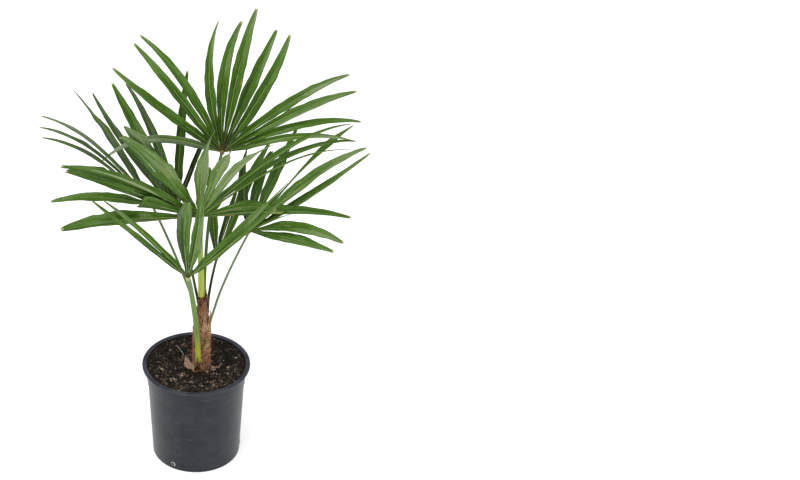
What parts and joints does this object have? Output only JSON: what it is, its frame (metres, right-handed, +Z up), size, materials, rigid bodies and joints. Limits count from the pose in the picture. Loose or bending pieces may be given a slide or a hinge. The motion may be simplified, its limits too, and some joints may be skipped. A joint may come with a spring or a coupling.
{
  "type": "potted windmill palm",
  "caption": "Young windmill palm with stiff, deeply split fan leaves on slender stalks and a short fibrous trunk, growing in a round plastic nursery pot.",
  "frame": {"origin": "centre of the pot's flat underside", "axes": "+Z up; the picture looks along +Y, with +X to its right"},
  "size_m": [0.5541, 0.3899, 0.7858],
  "materials": {
    "pot_plastic": "satin dark grey injection-moulded plastic",
    "peat": "moist crumbly potting peat",
    "trunk_fibre": "rough reddish brown leaf-base fibre",
    "leaf_stalk": "smooth green leaf stalk",
    "leaf": "satin green leaflet"
  },
  "bodies": {
    "root": {"pot": "pot_plastic", "soil": "peat", "trunk": "trunk_fibre", "front_stalk": "leaf_stalk", "front_blade_1": "leaf", "front_blade_2": "leaf", "front_blade_3": "leaf", "left_stalk": "leaf_stalk", "left_blade_1": "leaf", "left_blade_2": "leaf", "left_blade_3": "leaf", "middle_stalk": "leaf_stalk", "middle_blade_1": "leaf", "middle_blade_2": "leaf", "middle_blade_3": "leaf", "middle_blade_4": "leaf", "middle_blade_5": "leaf", "middle_blade_6": "leaf", "middle_blade_7": "leaf", "rear_stalk": "leaf_stalk", "rear_blade_1": "leaf", "rear_blade_2": "leaf", "rear_blade_3": "leaf", "rear_left_stalk": "leaf_stalk", "rear_left_blade_1": "leaf", "rear_left_blade_2": "leaf", "rear_left_blade_3": "leaf", "rear_left_blade_4": "leaf", "right_stalk": "leaf_stalk", "right_blade_1": "leaf", "right_blade_2": "leaf", "right_blade_3": "leaf", "top_stalk": "leaf_stalk", "top_blade_1": "leaf", "top_blade_2": "leaf", "top_blade_3": "leaf", "top_blade_4": "leaf"}
  },
  "joints": []
}
